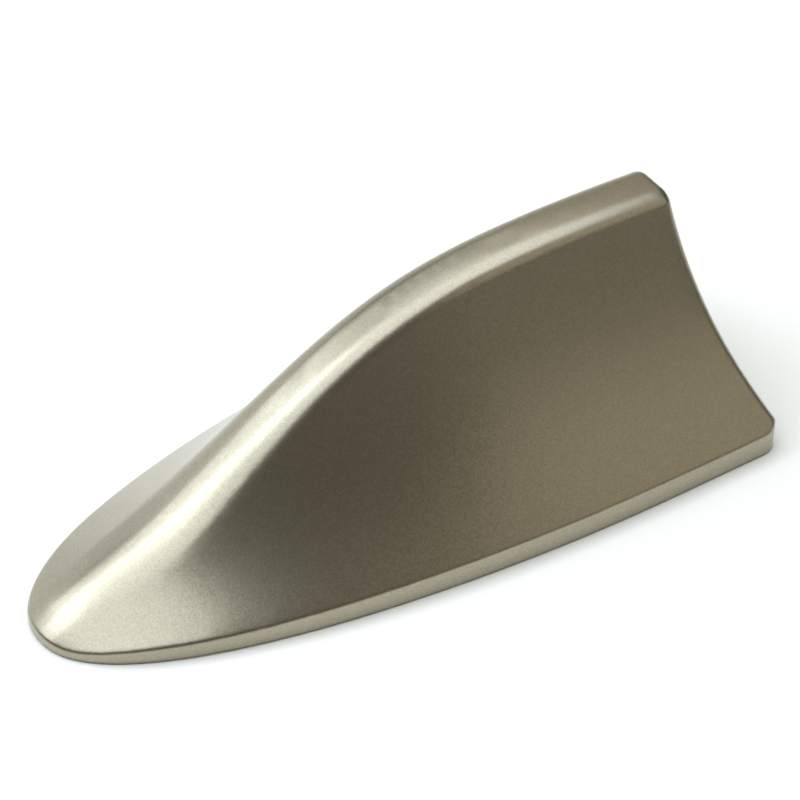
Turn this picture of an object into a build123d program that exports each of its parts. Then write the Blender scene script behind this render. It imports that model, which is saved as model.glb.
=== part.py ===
from build123d import *
import os
from math import atan2, cos, hypot, radians, sin, tan

# Shark fin aerial for a car roof, glued down by a foam pad.
# X runs along the car with the nose at -X, Z is up, and the roof is the plane Z = 0. Millimetres.

# Cover, outside
length = 165.0
width = 76.0
height = 55.2
rim_nose = 2.9
rim_tail = 5.4
rim_round = 0.9
tail_corner = 5.0
strip_width = 10.8
strip_edge = 2.5
nose_strip = 7.0
dome_run = 10.0
tip_setback = 10.0
rear_hollow = 3.0

# Shape of the cover: shares of its length and height, slopes, and angles in degrees
widest_share = 0.823
plan_power = 1.865
plan_root = 0.453
rim_power = 3
nose_share = (0.06, 0.148)
apron_share = (0.185, 0.322)
brow_share = (0.28, 0.503)
crest_share = (0.55, 0.929)
crown_share = 0.75
tail_drop = 0.03
nose_slope = 0.52
spread_share = 0.20
soft_share = 0.22
crisp_share = 0.47
blade_share = 0.45
flank_steeper = 7.0
flank_flare = 7.0

# Section curves: the corner's reach on the nose, and handle lengths as shares of reach and of flank
nose_reach = 0.8
corner_handle = 0.55
corner_run_on = 2.0
flank_handle = 0.4
rear_to_strip = 0.9
section_count = 14
plan_points = 12

# Cover, inside
wall = 2.4
roof_wall = 2.8
flank_wall = 3.6
rim_wall = 5.0
seat = 1.0
boss_radius = 3.0
boss_hole_depth = 9.0
overcut = 1.0
touching = 0.01

# Base plate, pad and seal
plate_thickness = 2.4
pad_thickness = 1.0
pad_proud = 0.3
pad_width = 9.0
pad_inset = 1.2
seal_thickness = 0.6
seal_width = 2.0
fit_gap = 0.2
thread_gap = 0.05

# Screws that hold the plate to the cover
rear_screw_setback = 24.5
front_screw_setback = 48.5
screw_margin = 0.4
screw_radius = 1.25
screw_head_radius = 2.6
screw_length = 9.0
slot_length = 3.2
slot_width = 0.7
slot_depth = 0.7

# Lead inlet
lead_x = -22.0
lead_bore = 1.6
grommet_neck = 3.5
grommet_flange = 5.5
grommet_lip = 0.9
grommet_top = 1.6

# Amplifier board and its screws
board_x = 16.0
board_length = 58.0
board_width = 22.0
board_thickness = 1.6
board_corner = 1.2
board_lift = 4.0
board_hole_inset = 3.5
pillar_radius = 2.5
small_screw_radius = 1.0
small_head_radius = 1.9
small_head_height = 1.4
small_screw_length = 5.0

# Coil post, coil and roof plate
post_inset = 13.0
post_radius = 3.0
post_foot_radius = 6.0
post_foot_height = 2.0
hat_headroom = 12.9
hat_length = 42.0
hat_shift = 7.0
hat_width = 8.4
hat_fold = 4.0
hat_sheet = 0.5
coil_pitch = 3.0
coil_lift = 4.0
ribbon_width = 1.4
ribbon_thickness = 0.4

# Small parts on the board: places from the middle of the board, or inset from its nose end;
# sizes as length, width and height
chip_spot = (-6.0, 0)
chip_size = (6.0, 5.0, 1.6)
capacitor_pitch = (6.0, 12.0)
capacitor_size = (2.0, 1.2, 1.0)
resistor_spot = (-13.0, 0)
resistor_pitch = 2.5
resistor_size = (2.0, 1.2, 0.5)
choke_spot = (3.0, 0)
choke_pitch = 7.5
choke_radius = 2.5
choke_waist = 1.7
choke_flange = 0.9
choke_height = 4.5
can_inset = 11.0
can_side = 5.0
can_radius = 3.15
can_height = 8.0
socket_inset = 10.0
socket_side = -4.0
socket_base = (5.0, 5.0, 1.8)
socket_radius = 1.8
socket_height = 3.0
socket_pin_hole = 0.6

# Levels and places that follow from the sizes above
nose_x = -length / 2
tail_x = length / 2
widest_x = nose_x + widest_share * length
dome_x = nose_x + dome_run
dome_depth = nose_slope * dome_run
plate_bottom = pad_proud
plate_top = plate_bottom + plate_thickness
plate_inset = rim_wall + fit_gap
pad_inner = plate_inset + pad_inset + pad_width
seat_level = plate_top + seal_thickness
crown = height - plate_bottom
board_bottom = plate_top + board_lift
board_top = board_bottom + board_thickness
board_holes = (board_length - 2 * board_hole_inset, board_width - 2 * board_hole_inset, 2, 2)
board_nose_x = board_x - board_length / 2
choke_spots = [(board_x + choke_spot[0], choke_spot[1] + side * choke_pitch / 2) for side in (1, -1)]
post_x = board_x + board_length / 2 - post_inset
hat_bottom = height - hat_headroom
standing = (Align.CENTER, Align.CENTER, Align.MIN)
hanging = (Align.CENTER, Align.CENTER, Align.MAX)


def rim_top(x):
    share = (x - nose_x) / length
    return plate_bottom + rim_tail - (rim_tail - rim_nose) * (1 - share) ** rim_power


def half_width(x, inset):
    start = nose_x + inset
    share = min((x - start) / (widest_x - start), 1)
    return (width / 2 - inset) * (1 - (1 - share) ** plan_power) ** plan_root


def plan_outline(inset, level):
    start = nose_x + inset
    half = width / 2 - inset
    back = tail_x - inset
    side = [start + (back - start) * ((i + 1) / plan_points) ** 2 for i in range(plan_points)]
    near = [(x, -half_width(x, inset)) for x in reversed(side)]
    far = [(x, half_width(x, inset)) for x in side]
    with BuildSketch(Plane.XY.offset(level)) as outline:
        with BuildLine():
            Spline(near + [(start, 0)] + far)
            Line((back, half), (back, -half))
        make_face()
        fillet(outline.vertices().group_by(Axis.X)[-1], tail_corner)
    return outline.sketch


def ease(x, start_share, end_share):
    share = ((x - nose_x) / length - start_share) / (end_share - start_share)
    share = min(max(share, 0), 1)
    return share * share * (3 - 2 * share)


# One cross-section of the fin. Its joints stay tangent all along the loft, since both handles at the
# bend keep one ratio.
def fin_section(x, top, inset, strip_half, edge):
    depth = max(top - rim_top(x), dome_depth)
    half = half_width(max(x, dome_x), inset)
    crease = top - depth
    strip_half -= (strip_width - nose_strip) / 2 * (1 - ease(x, 0, spread_share))
    slope = atan2(depth, half - strip_half)
    blade = ease(x, dome_run / length, blade_share)
    crisp = ease(x, soft_share, crisp_share)
    upper = slope + radians(flank_steeper) * blade
    lower = slope - radians(flank_flare) * blade
    reach = edge * crisp + nose_reach * strip_half * (1 - crisp)
    flat = strip_half - reach
    soft = corner_handle * reach
    run_on = corner_run_on * soft
    bend = (strip_half + reach * cos(upper), top - reach * sin(upper))
    pull = flank_handle * hypot(half - bend[0], bend[1] - crease)
    curve = [(half + rim_tail / tan(lower), crease - rim_tail),
             (half - pull / 2 * cos(lower), crease + pull / 2 * sin(lower)),
             (half - pull * cos(lower), crease + pull * sin(lower)),
             (bend[0] + pull * cos(upper), bend[1] - pull * sin(upper)),
             (bend[0] + run_on * cos(upper), bend[1] - run_on * sin(upper)),
             bend,
             (bend[0] - soft * cos(upper), bend[1] + soft * sin(upper)),
             (flat + soft, top),
             (flat, top)]
    right = [(x, y, z) for y, z in curve]
    left = [(x, -y, z) for y, z in curve]
    edges = [Edge.make_bezier(*right[:6]),
             Edge.make_bezier(*right[5:]),
             Edge.make_line(right[-1], left[-1]),
             Edge.make_bezier(*left[:4:-1]),
             Edge.make_bezier(*left[5::-1]),
             Edge.make_line(left[0], right[0])]
    return Face(Wire(edges))


def rear_profile(shift):
    foot = (tail_x - shift, rim_top(tail_x))
    tip = (tail_x - tip_setback - shift, height)
    hollow = ((foot[0] + tip[0]) / 2 - rear_hollow, (foot[1] + tip[1]) / 2)
    far = tail_x + width
    with BuildSketch(Plane.XZ) as profile:
        with BuildLine():
            arc = ThreePointArc(foot, hollow, tip)
            low = arc @ 0 - (arc % 0) * tip_setback
            high = arc @ 1 + (arc % 1) * tip_setback
            Polyline(tip, high, (far, high.Y), (far, low.Y), low, foot)
        make_face()
    return profile.sketch


def ridge_spot(share):
    return (nose_x + share[0] * length, plate_bottom + share[1] * crown)


def screw_pair(x):
    y = half_width(x, pad_inner) - screw_head_radius - screw_margin
    return [(x, y), (x, -y)]


screw_spots = screw_pair(nose_x + front_screw_setback) + screw_pair(tail_x - rear_screw_setback)

# Ridge line seen from the side, run on past the nose and the tail
with BuildLine(Plane.XZ) as ridge:
    Spline((nose_x - dome_run, rim_top(nose_x) - dome_depth),
           (nose_x, rim_top(nose_x)),
           ridge_spot(nose_share),
           ridge_spot(apron_share),
           ridge_spot(brow_share),
           ridge_spot(crest_share),
           (nose_x + crown_share * length, height),
           (tail_x + rim_wall, height - tail_drop * crown))
stations = [ridge.line @ (i / (section_count - 1)) for i in range(section_count)]

# Room inside the cover: plate pocket, seat and cavity, with the screw bosses left standing
with BuildPart() as hollow:
    inner_half = strip_width / 2 - wall
    loft([fin_section(p.X, p.Z - roof_wall, flank_wall, inner_half, strip_edge / 2) for p in stations])
    extrude(plan_outline(rim_wall + seat, seat_level), height, mode=Mode.INTERSECT)
    extrude(rear_profile(wall), width, both=True, mode=Mode.SUBTRACT)
    extrude(plan_outline(rim_wall, plate_bottom - overcut), seat_level - plate_bottom + overcut)
    with BuildSketch(Plane.XY.offset(plate_top)):
        with Locations(*screw_spots):
            Circle(boss_radius)
    extrude(amount=height, mode=Mode.SUBTRACT)
    with BuildSketch(Plane.XY.offset(plate_top)):
        with Locations(*screw_spots):
            Circle(screw_radius + thread_gap)
    extrude(amount=boss_hole_depth)

# Cover: the loft along the ridge, cut by the hollow rear face and then by the plan, whose upright
# wall meets the flanks in one rounded edge
with BuildPart() as fin_cover:
    loft([fin_section(p.X, p.Z, 0, strip_width / 2, strip_edge) for p in stations])
    extrude(rear_profile(0), width, both=True, mode=Mode.SUBTRACT)
    rear_face = fin_cover.faces().filter_by(GeomType.CYLINDER).sort_by(SortBy.AREA)[-1]
    fillet(rear_face.edges().sort_by(Axis.Z)[1:], rear_to_strip * strip_edge)
    extrude(plan_outline(0, plate_bottom), height, mode=Mode.INTERSECT)
    floor = plate_bottom + touching
    walls = fin_cover.faces().filter_by(lambda f: f.bounding_box().min.Z < floor).sort_by(Axis.Z)[1:]
    upper_edges = walls.edges().filter_by(lambda e: e.center().Z > floor)
    fillet(upper_edges.filter_by(lambda e: abs(e.tangent_at(0.5).Z) < 0.95), rim_round)
    add(hollow.part, mode=Mode.SUBTRACT)

with BuildPart() as base_plate:
    recess = pad_thickness - pad_proud
    extrude(plan_outline(plate_inset, plate_bottom), plate_thickness)
    extrude(plan_outline(plate_inset + pad_inset, plate_bottom), recess, mode=Mode.SUBTRACT)
    extrude(plan_outline(pad_inner, plate_bottom), recess)
    with Locations((lead_x, 0, plate_bottom)):
        Cylinder(grommet_flange, grommet_lip, align=standing, mode=Mode.SUBTRACT)
        Cylinder(grommet_neck, plate_thickness, align=standing, mode=Mode.SUBTRACT)
    with Locations(*[(x, y, plate_bottom) for x, y in screw_spots]):
        Cone(screw_head_radius + thread_gap, screw_radius + thread_gap, screw_head_radius - screw_radius,
             align=standing, mode=Mode.SUBTRACT)
        Cylinder(screw_radius + thread_gap, plate_thickness, align=standing, mode=Mode.SUBTRACT)
    with Locations((board_x, 0, board_bottom)):
        with GridLocations(*board_holes):
            Cylinder(pillar_radius, board_lift, align=hanging)
            Cylinder(small_screw_radius + thread_gap, small_screw_length, align=hanging, mode=Mode.SUBTRACT)

with BuildPart() as adhesive_pad:
    extrude(plan_outline(plate_inset + pad_inset + fit_gap, 0), pad_thickness)
    extrude(plan_outline(pad_inner - fit_gap, 0), pad_thickness, mode=Mode.SUBTRACT)

with BuildPart() as base_seal:
    extrude(plan_outline(plate_inset, plate_top), seal_thickness)
    extrude(plan_outline(plate_inset + seal_width, plate_top), seal_thickness, mode=Mode.SUBTRACT)

with BuildPart() as lead_grommet:
    with Locations((lead_x, 0, plate_bottom)):
        Cylinder(grommet_flange - thread_gap, grommet_lip, align=standing)
        Cylinder(grommet_neck - thread_gap, plate_thickness, align=standing)
    with Locations((lead_x, 0, plate_top)):
        Cylinder(grommet_flange, grommet_top, align=standing)
    with Locations((lead_x, 0, plate_bottom)):
        Cylinder(lead_bore, plate_thickness + grommet_top, align=standing, mode=Mode.SUBTRACT)

with BuildPart() as base_screws:
    with Locations(*[(x, y, plate_bottom) for x, y in screw_spots]):
        Cone(screw_head_radius, screw_radius, screw_head_radius - screw_radius, align=standing)
        Cylinder(screw_radius, screw_length, align=standing)
        Box(slot_length, slot_width, slot_depth, align=standing, mode=Mode.SUBTRACT)
        Box(slot_width, slot_length, slot_depth, align=standing, mode=Mode.SUBTRACT)

with BuildPart() as amplifier_board:
    with BuildSketch(Plane.XY.offset(board_bottom)):
        with Locations((board_x, 0)):
            RectangleRounded(board_length, board_width, board_corner)
            with GridLocations(*board_holes):
                Circle(small_screw_radius + thread_gap, mode=Mode.SUBTRACT)
    extrude(amount=board_thickness)

with BuildPart() as board_screws:
    with Locations((board_x, 0, board_top)):
        with GridLocations(*board_holes):
            Cylinder(small_head_radius, small_head_height, align=standing)
            Cylinder(small_screw_radius, small_screw_length, align=hanging)

with BuildPart() as coil_post:
    with Locations((post_x, 0, board_top)):
        Cylinder(post_foot_radius, post_foot_height, align=standing)
        Cylinder(post_radius, hat_bottom - board_top, align=standing)
    with Locations((post_x, 0, hat_bottom)):
        Cylinder(small_screw_radius + thread_gap, small_screw_length, align=hanging, mode=Mode.SUBTRACT)

with BuildPart() as aerial_coil:
    coil_bottom = board_top + coil_lift
    with BuildLine() as turns:
        Helix(coil_pitch, hat_bottom - hat_fold - ribbon_width - coil_bottom,
              post_radius + thread_gap + ribbon_thickness / 2, center=(post_x, 0, coil_bottom))
    with BuildSketch(Plane(origin=turns.line @ 0, x_dir=(1, 0, 0), z_dir=turns.line % 0)):
        Rectangle(ribbon_thickness, ribbon_width)
    sweep(is_frenet=True)

with BuildPart() as roof_plate:
    with BuildSketch(Plane.YZ.offset(post_x + hat_shift - hat_length / 2)):
        with BuildLine():
            outer = hat_width / 2
            inner = outer - hat_sheet
            top = hat_bottom + hat_sheet
            low = hat_bottom - hat_fold
            Polyline((-outer, low), (-outer, top), (outer, top), (outer, low), (inner, low),
                     (inner, hat_bottom), (-inner, hat_bottom), (-inner, low), close=True)
        make_face()
    extrude(amount=hat_length)
    with Locations((post_x, 0, hat_bottom)):
        Cylinder(small_screw_radius + thread_gap, hat_sheet, align=standing, mode=Mode.SUBTRACT)

with BuildPart() as hat_screw:
    with Locations((post_x, 0, hat_bottom + hat_sheet)):
        Cylinder(small_head_radius, small_head_height, align=standing)
        Cylinder(small_screw_radius, small_screw_length, align=hanging)

with BuildPart() as amplifier_chip:
    with Locations((board_x + chip_spot[0], chip_spot[1], board_top)):
        Box(*chip_size, align=standing)

with BuildPart() as chip_capacitors:
    with Locations((board_x + chip_spot[0], chip_spot[1], board_top)):
        with GridLocations(*capacitor_pitch, 2, 2):
            Box(*capacitor_size, align=standing)

with BuildPart() as chip_resistors:
    with Locations((board_x + resistor_spot[0], resistor_spot[1], board_top)):
        with GridLocations(0, resistor_pitch, 1, 3):
            Box(*resistor_size, align=standing)

with BuildPart() as choke_coils:
    with Locations(*[(x, y, board_top) for x, y in choke_spots]):
        Cylinder(choke_waist, choke_height, align=standing)
        Cylinder(choke_radius, choke_flange, align=standing)
    with Locations(*[(x, y, board_top + choke_height) for x, y in choke_spots]):
        Cylinder(choke_radius, choke_flange, align=hanging)

with BuildPart() as supply_capacitor:
    with Locations((board_nose_x + can_inset, can_side, board_top)):
        Cylinder(can_radius, can_height, align=standing)

with BuildPart() as signal_socket:
    with Locations((board_nose_x + socket_inset, socket_side, board_top)):
        Box(*socket_base, align=standing)
        Cylinder(socket_radius, socket_base[2] + socket_height, align=standing)
    with Locations((board_nose_x + socket_inset, socket_side, board_top + socket_base[2] + socket_height)):
        Cylinder(socket_pin_hole, socket_height, align=hanging, mode=Mode.SUBTRACT)

pieces = {
    "fin_cover": fin_cover,
    "base_plate": base_plate,
    "adhesive_pad": adhesive_pad,
    "base_seal": base_seal,
    "lead_grommet": lead_grommet,
    "base_screws": base_screws,
    "amplifier_board": amplifier_board,
    "board_screws": board_screws,
    "coil_post": coil_post,
    "aerial_coil": aerial_coil,
    "roof_plate": roof_plate,
    "hat_screw": hat_screw,
    "amplifier_chip": amplifier_chip,
    "chip_capacitors": chip_capacitors,
    "chip_resistors": chip_resistors,
    "choke_coils": choke_coils,
    "supply_capacitor": supply_capacitor,
    "signal_socket": signal_socket,
}
os.makedirs("parts", exist_ok=True)
for name, piece in pieces.items():
    piece.part.label = name
    export_step(piece.part, f"parts/{name}.step")
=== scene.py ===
from math import cos, radians, sin

import bpy
from mathutils import Matrix, Vector

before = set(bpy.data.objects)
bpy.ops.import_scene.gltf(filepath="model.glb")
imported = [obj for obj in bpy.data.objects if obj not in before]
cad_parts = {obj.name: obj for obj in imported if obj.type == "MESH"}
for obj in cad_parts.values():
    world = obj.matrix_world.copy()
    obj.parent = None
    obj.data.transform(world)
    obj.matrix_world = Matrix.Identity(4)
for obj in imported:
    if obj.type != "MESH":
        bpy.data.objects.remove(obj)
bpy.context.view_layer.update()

# Lengths are in metres and angles in degrees, unless a name says mm

# Camera, as the photograph was taken
camera_azimuth = -32.6
camera_elevation = 42.0
camera_roll = 0.25
camera_distance = 0.600
camera_target = Vector((0.00667, 0, 0.0225))
camera_lens_mm = 126.6
camera_sensor_mm = 36
camera_clip = 0.01

# Shading of the cover: how near points are joined, the angle from which an edge stays sharp,
# and the height up to which the zone round the rim's rounding goes
weld_reach = 0.000005
sharp_angle = 35
rim_zone = 0.0075

# Paint of the cover: flakes to the metre, how far a flake tilts as a share of the normal,
# and the radius over which the shading rounds an edge
paint_dark = (0.335, 0.301, 0.222)
paint_light = (0.426, 0.383, 0.283)
paint_metallic = 0.9
paint_roughness = 0.31
coat_weight = 0.35
coat_roughness = 0.1
flake_scale = 4500
flake_tilt = 0.035
edge_radius = 0.0012
edge_samples = 8

# Other finishes: dark and light grain colour, grains to the metre, metallic, roughness,
# strength and depth of the relief
grains = {
    "black_abs": ((0.014, 0.014, 0.014), (0.026, 0.026, 0.026), 2500, 0, 0.5, 0.2, 0.0002),
    "foam_pad": ((0.02, 0.02, 0.02), (0.045, 0.045, 0.045), 1500, 0, 0.9, 0.6, 0.0004),
    "black_rubber": ((0.014, 0.014, 0.015), (0.028, 0.028, 0.028), 1800, 0, 0.75, 0.3, 0.0003),
    "zinc_steel": ((0.56, 0.56, 0.54), (0.68, 0.68, 0.66), 3000, 1, 0.35, 0.1, 0.0001),
    "circuit_board": ((0.016, 0.14, 0.052), (0.024, 0.18, 0.07), 1200, 0, 0.35, 0.1, 0.0001),
    "white_abs": ((0.72, 0.71, 0.67), (0.78, 0.77, 0.73), 2000, 0, 0.5, 0.1, 0.0002),
    "copper": ((0.66, 0.32, 0.17), (0.78, 0.40, 0.23), 2500, 1, 0.3, 0.1, 0.0001),
    "tinned_sheet": ((0.60, 0.60, 0.58), (0.72, 0.72, 0.70), 1500, 1, 0.3, 0.1, 0.0001),
    "chip_resin": ((0.024, 0.024, 0.024), (0.036, 0.036, 0.036), 4000, 0, 0.55, 0.2, 0.0001),
    "ceramic": ((0.50, 0.38, 0.25), (0.60, 0.46, 0.31), 3000, 0, 0.5, 0.1, 0.0001),
    "resistor_black": ((0.034, 0.034, 0.042), (0.046, 0.046, 0.058), 3000, 0, 0.35, 0.1, 0.0001),
    "ferrite": ((0.08, 0.08, 0.08), (0.12, 0.12, 0.12), 3500, 0, 0.7, 0.3, 0.0002),
    "can_aluminium": ((0.66, 0.66, 0.66), (0.74, 0.74, 0.74), 2000, 1, 0.28, 0.1, 0.0001),
    "gilt_brass": ((0.76, 0.56, 0.22), (0.84, 0.64, 0.28), 2500, 1, 0.25, 0.1, 0.0001),
}

# Finish of each CAD node
looks = {
    "fin_cover": "painted_cover",
    "base_plate": "black_abs",
    "adhesive_pad": "foam_pad",
    "base_seal": "black_rubber",
    "lead_grommet": "black_rubber",
    "base_screws": "zinc_steel",
    "amplifier_board": "circuit_board",
    "board_screws": "zinc_steel",
    "coil_post": "white_abs",
    "aerial_coil": "copper",
    "roof_plate": "tinned_sheet",
    "hat_screw": "zinc_steel",
    "amplifier_chip": "chip_resin",
    "chip_capacitors": "ceramic",
    "chip_resistors": "resistor_black",
    "choke_coils": "ferrite",
    "supply_capacitor": "can_aluminium",
    "signal_socket": "gilt_brass",
}

# Stage: floor, backdrop, world and lamps
floor_reach = 6.0
floor_dark = (0.945, 0.92, 0.855)
floor_light = (0.96, 0.935, 0.87)
floor_roughness = 0.7
backdrop_y = 1.15
backdrop_reach = 3.0
backdrop_height = 0.7
backdrop_dark = (0.86, 0.86, 0.86)
backdrop_light = (0.9, 0.9, 0.9)
backdrop_roughness = 0.8
stage_scale = 6
world_colour = (0.068, 0.053, 0.034, 1)

# Place, point aimed at, size, power in watts, colour
lamps = {
    "key": ((-0.275, 0.15, 1.1), (-0.275, 0.15, 0), (2.05, 1.50), 20.9, (0.915, 1.0, 1.09)),
    "left": ((-0.86, 0.70, 1.0), (0, 0, 0.02), (0.9, 0.8), 6.2, (0.925, 1.0, 1.13)),
    "fill": ((0.67, -0.8, 0.65), (0, 0, 0.02), (0.95, 0.7), 1.16, (1.0, 0.93, 0.77)),
    "back": ((0.85, 1.0, 0.90), (0, 0, 0.05), (0.9, 0.6), 0.45, (1.0, 0.78, 0.46)),
}


def new_material(name):
    material = bpy.data.materials.new(name)
    material.use_nodes = True
    return material, material.node_tree.nodes, material.node_tree.links


def object_texture(nodes, links, kind, scale):
    place = nodes.new("ShaderNodeTexCoord")
    texture = nodes.new(kind)
    texture.inputs["Scale"].default_value = scale
    links.new(place.outputs["Object"], texture.inputs["Vector"])
    return texture


def colour_ramp(nodes, links, source, dark, light, low, high, shader):
    ramp = nodes.new("ShaderNodeValToRGB")
    ends = ramp.color_ramp.elements
    ends[0].position, ends[0].color = low, (*dark, 1)
    ends[1].position, ends[1].color = high, (*light, 1)
    links.new(source, ramp.inputs["Fac"])
    links.new(ramp.outputs["Color"], shader.inputs["Base Color"])


def grained(name, dark, light, scale, metallic, roughness, strength=0, depth=0):
    """A material whose colour and relief follow one fine grain."""
    material, nodes, links = new_material(name)
    shader = nodes["Principled BSDF"]
    shader.inputs["Metallic"].default_value = metallic
    shader.inputs["Roughness"].default_value = roughness
    grain = object_texture(nodes, links, "ShaderNodeTexNoise", scale)
    colour_ramp(nodes, links, grain.outputs["Fac"], dark, light, 0.3, 0.7, shader)
    if strength:
        relief = nodes.new("ShaderNodeBump")
        relief.inputs["Strength"].default_value = strength
        relief.inputs["Distance"].default_value = depth
        links.new(grain.outputs["Fac"], relief.inputs["Height"])
        links.new(relief.outputs["Normal"], shader.inputs["Normal"])
    return material


def metallic_paint():
    """Champagne paint: each flake cell tilts and tints the metal a little, under a smooth clear coat."""
    material, nodes, links = new_material("painted_cover")
    shader = nodes["Principled BSDF"]
    shader.inputs["Metallic"].default_value = paint_metallic
    shader.inputs["Roughness"].default_value = paint_roughness
    shader.inputs["Coat Weight"].default_value = coat_weight
    shader.inputs["Coat Roughness"].default_value = coat_roughness
    flake = object_texture(nodes, links, "ShaderNodeTexVoronoi", flake_scale)
    tint = nodes.new("ShaderNodeSeparateColor")
    links.new(flake.outputs["Color"], tint.inputs["Color"])
    colour_ramp(nodes, links, tint.outputs["Red"], paint_dark, paint_light, 0, 1, shader)
    smooth = nodes.new("ShaderNodeBevel")
    smooth.samples = edge_samples
    smooth.inputs["Radius"].default_value = edge_radius
    links.new(smooth.outputs["Normal"], shader.inputs["Coat Normal"])
    # A flake's colour runs from 0 to 1, so half is taken off to tilt it either way
    centred = nodes.new("ShaderNodeVectorMath")
    centred.operation = "SUBTRACT"
    centred.inputs[1].default_value = (0.5, 0.5, 0.5)
    links.new(flake.outputs["Color"], centred.inputs[0])
    tilted = nodes.new("ShaderNodeVectorMath")
    tilted.operation = "MULTIPLY_ADD"
    tilted.inputs[1].default_value = (flake_tilt, flake_tilt, flake_tilt)
    links.new(centred.outputs["Vector"], tilted.inputs[0])
    links.new(smooth.outputs["Normal"], tilted.inputs[2])
    unit = nodes.new("ShaderNodeVectorMath")
    unit.operation = "NORMALIZE"
    links.new(tilted.outputs["Vector"], unit.inputs[0])
    links.new(unit.outputs["Vector"], shader.inputs["Normal"])
    return material


def finish_nodes():
    finishes = {name: grained(name, *values) for name, values in grains.items()}
    finishes["painted_cover"] = metallic_paint()
    for name, finish in looks.items():
        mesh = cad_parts[name].data
        mesh.materials.clear()
        mesh.materials.append(finishes[finish])


def cover_normals():
    """Normals that weigh the facets by their angle, or by their area where z is under rim_zone."""
    tree = bpy.data.node_groups.new("cover_normals", "GeometryNodeTree")
    for side in ("INPUT", "OUTPUT"):
        tree.interface.new_socket("Geometry", in_out=side, socket_type="NodeSocketGeometry")
    nodes, links = tree.nodes, tree.links
    normal = nodes.new("GeometryNodeInputNormal")
    area = nodes.new("GeometryNodeInputMeshFaceArea")
    weighed = nodes.new("ShaderNodeVectorMath")
    weighed.operation = "SCALE"
    links.new(normal.outputs["True Normal"], weighed.inputs[0])
    links.new(area.outputs["Area"], weighed.inputs["Scale"])
    facets = nodes.new("GeometryNodeFieldOnDomain")
    facets.data_type = "FLOAT_VECTOR"
    facets.domain = "FACE"
    links.new(weighed.outputs["Vector"], facets.inputs["Value"])
    unit = nodes.new("ShaderNodeVectorMath")
    unit.operation = "NORMALIZE"
    links.new(facets.outputs["Value"], unit.inputs[0])
    place = nodes.new("GeometryNodeInputPosition")
    height = nodes.new("ShaderNodeSeparateXYZ")
    links.new(place.outputs["Position"], height.inputs["Vector"])
    low = nodes.new("ShaderNodeMath")
    low.operation = "LESS_THAN"
    low.inputs[1].default_value = rim_zone
    links.new(height.outputs["Z"], low.inputs[0])
    choice = nodes.new("GeometryNodeSwitch")
    choice.input_type = "VECTOR"
    links.new(low.outputs["Value"], choice.inputs["Switch"])
    links.new(normal.outputs["True Normal"], choice.inputs["False"])
    links.new(unit.outputs["Vector"], choice.inputs["True"])
    shade = nodes.new("GeometryNodeSetMeshNormal")
    shade.mode = "FREE"
    shade.domain = "POINT"
    links.new(nodes.new("NodeGroupInput").outputs["Geometry"], shade.inputs["Mesh"])
    links.new(choice.outputs["Output"], shade.inputs["Custom Normal"])
    links.new(shade.outputs["Mesh"], nodes.new("NodeGroupOutput").inputs["Geometry"])
    return tree


def smooth_cover():
    """Let the shading run on across the joints of the cover's faces; real edges stay sharp."""
    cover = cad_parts["fin_cover"]
    cover.modifiers.new("weld", "WELD").merge_threshold = weld_reach
    cover.modifiers.new("edges", "EDGE_SPLIT").split_angle = radians(sharp_angle)
    cover.modifiers.new("normals", "NODES").node_group = cover_normals()


def add_camera():
    azimuth = radians(camera_azimuth)
    elevation = radians(camera_elevation)
    back = Vector((sin(azimuth) * cos(elevation), -cos(azimuth) * cos(elevation), sin(elevation)))
    turn = back.to_track_quat("Z", "Y").to_matrix().to_4x4()
    turn = turn @ Matrix.Rotation(radians(-camera_roll), 4, "Z")
    data = bpy.data.cameras.new("camera")
    data.lens = camera_lens_mm
    data.sensor_width = camera_sensor_mm
    data.clip_start = camera_clip
    camera = bpy.data.objects.new("camera", data)
    camera.matrix_world = Matrix.Translation(camera_target + back * camera_distance) @ turn
    bpy.context.scene.collection.objects.link(camera)
    bpy.context.scene.camera = camera


def add_lamp(name, place, target, size, power, colour):
    data = bpy.data.lights.new(name, "AREA")
    data.shape = "RECTANGLE"
    data.size, data.size_y = size
    data.energy = power
    data.color = colour
    lamp = bpy.data.objects.new(name, data)
    lamp.location = place
    lamp.rotation_euler = (Vector(place) - Vector(target)).to_track_quat("Z", "Y").to_euler()
    bpy.context.scene.collection.objects.link(lamp)


def add_sheet(name, corners, material):
    mesh = bpy.data.meshes.new(name)
    mesh.from_pydata(corners, [], [(0, 1, 2, 3)])
    mesh.materials.append(material)
    sheet = bpy.data.objects.new(name, mesh)
    bpy.context.scene.collection.objects.link(sheet)
    return sheet


def add_floor():
    reach = floor_reach
    corners = [(-reach, -reach, 0), (reach, -reach, 0), (reach, reach, 0), (-reach, reach, 0)]
    paint = grained("floor", floor_dark, floor_light, stage_scale, 0, floor_roughness)
    floor = add_sheet("floor", corners, paint)


def add_backdrop():
    reach, y, top = backdrop_reach, backdrop_y, backdrop_height
    corners = [(-reach, y, 0), (reach, y, 0), (reach, y, top), (-reach, y, top)]
    paint = grained("backdrop", backdrop_dark, backdrop_light, stage_scale, 0, backdrop_roughness)
    backdrop = add_sheet("backdrop", corners, paint)


def add_world():
    world = bpy.data.worlds.new("studio")
    world.use_nodes = True
    world.node_tree.nodes["Background"].inputs["Color"].default_value = world_colour
    bpy.context.scene.world = world


finish_nodes()
smooth_cover()
add_camera()
add_floor()
add_backdrop()
add_world()
for name, values in lamps.items():
    add_lamp(name, *values)
bpy.context.scene.view_settings.view_transform = "Standard"
